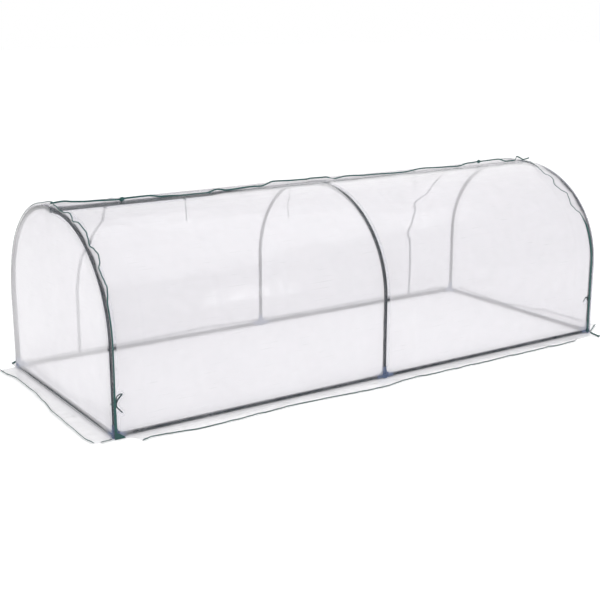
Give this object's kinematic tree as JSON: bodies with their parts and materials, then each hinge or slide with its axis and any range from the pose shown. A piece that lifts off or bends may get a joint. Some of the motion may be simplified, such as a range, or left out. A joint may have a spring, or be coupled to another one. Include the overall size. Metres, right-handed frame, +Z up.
{
  "type": "row cover tunnel",
  "caption": "Low garden tunnel: arched steel tube hoops on a base frame under a clear sewn film cover with a zipped lift-up side and ground skirts.",
  "frame": {"origin": "on the ground under the middle of the tunnel", "axes": "+X along the tunnel, +Y towards the zipped door side, +Z up"},
  "size_m": [2.7002, 1.2042, 0.8116],
  "materials": {
    "tube_steel": "dark green powder coat, satin",
    "connector_plastic": "moulded, blue-grey",
    "clear_film": "clear, creased, glossy",
    "binding_tape": "woven dark green tape",
    "zip_tape": "woven tape with moulded teeth",
    "zip_metal": "plated zinc"
  },
  "bodies": {
    "root": {"arch_seam_binding_left": "binding_tape", "arch_seam_binding_right": "binding_tape", "arch_seam_film_left": "clear_film", "arch_seam_film_right": "clear_film", "back_panel": "clear_film", "back_rail_left": "tube_steel", "back_rail_right": "tube_steel", "back_skirt_left": "clear_film", "back_skirt_right": "clear_film", "base_tee_back": "connector_plastic", "base_tee_front": "connector_plastic", "corner_connector_back_left": "connector_plastic", "corner_connector_back_right": "connector_plastic", "corner_connector_front_left": "connector_plastic", "corner_connector_front_right": "connector_plastic", "end_panel_left": "clear_film", "end_panel_right": "clear_film", "end_rail_left": "tube_steel", "end_rail_right": "tube_steel", "front_panel": "clear_film", "front_rail_left": "tube_steel", "front_rail_right": "tube_steel", "front_skirt": "clear_film", "hoop_left_back": "tube_steel", "hoop_left_front": "tube_steel", "hoop_middle_back": "tube_steel", "hoop_middle_front": "tube_steel", "hoop_right_back": "tube_steel", "hoop_right_front": "tube_steel", "leg_left_back": "tube_steel", "leg_left_front": "tube_steel", "leg_middle_back": "tube_steel", "leg_middle_front": "tube_steel", "leg_right_back": "tube_steel", "leg_right_front": "tube_steel", "leg_tie_left": "binding_tape", "leg_tie_right": "binding_tape", "ridge_cross_middle": "connector_plastic", "ridge_seam_binding": "binding_tape", "ridge_tee_left": "connector_plastic", "ridge_tee_right": "connector_plastic", "ridge_tie_left": "binding_tape", "ridge_tie_middle": "binding_tape", "ridge_tie_right": "binding_tape", "ridge_tube_left": "tube_steel", "ridge_tube_right": "tube_steel", "skirt_binding_front": "binding_tape", "skirt_binding_left": "binding_tape", "skirt_binding_right": "binding_tape", "zip_tape_left_fixed": "zip_tape", "zip_tape_right_fixed": "zip_tape"},
    "back_door": {"back_door": "clear_film", "door_skirt": "clear_film", "skirt_binding_door": "binding_tape", "zip_tape_left_door": "zip_tape", "zip_tape_right_door": "zip_tape"},
    "zip_slider_left": {"zip_slider_left": "zip_metal"},
    "zip_slider_right": {"zip_slider_right": "zip_metal"},
    "zip_pull_left": {"zip_pull_left": "zip_metal"},
    "zip_pull_right": {"zip_pull_right": "zip_metal"}
  },
  "joints": [
    {"name": "back_door_lift", "type": "hinge", "parent": "root", "child": "back_door", "pos_m": [0, 0.045, 0.78762], "axis": [1, 0, 0], "range_deg": [0, 110]},
    {"name": "zip_slider_left_run", "type": "slide", "parent": "back_door", "child": "zip_slider_left", "axis": [0, 0, 1], "range_m": [0, 0.28]},
    {"name": "zip_pull_left_swing", "type": "hinge", "parent": "zip_slider_left", "child": "zip_pull_left", "pos_m": [-0.9597, 0.5179, 0.0433], "axis": [1, 0, 0], "range_deg": [0, 150]},
    {"name": "zip_slider_right_run", "type": "slide", "parent": "back_door", "child": "zip_slider_right", "axis": [0, 0, 1], "range_m": [0, 0.28]},
    {"name": "zip_pull_right_swing", "type": "hinge", "parent": "zip_slider_right", "child": "zip_pull_right", "pos_m": [0.9597, 0.5179, 0.0433], "axis": [1, 0, 0], "range_deg": [0, 150]}
  ]
}
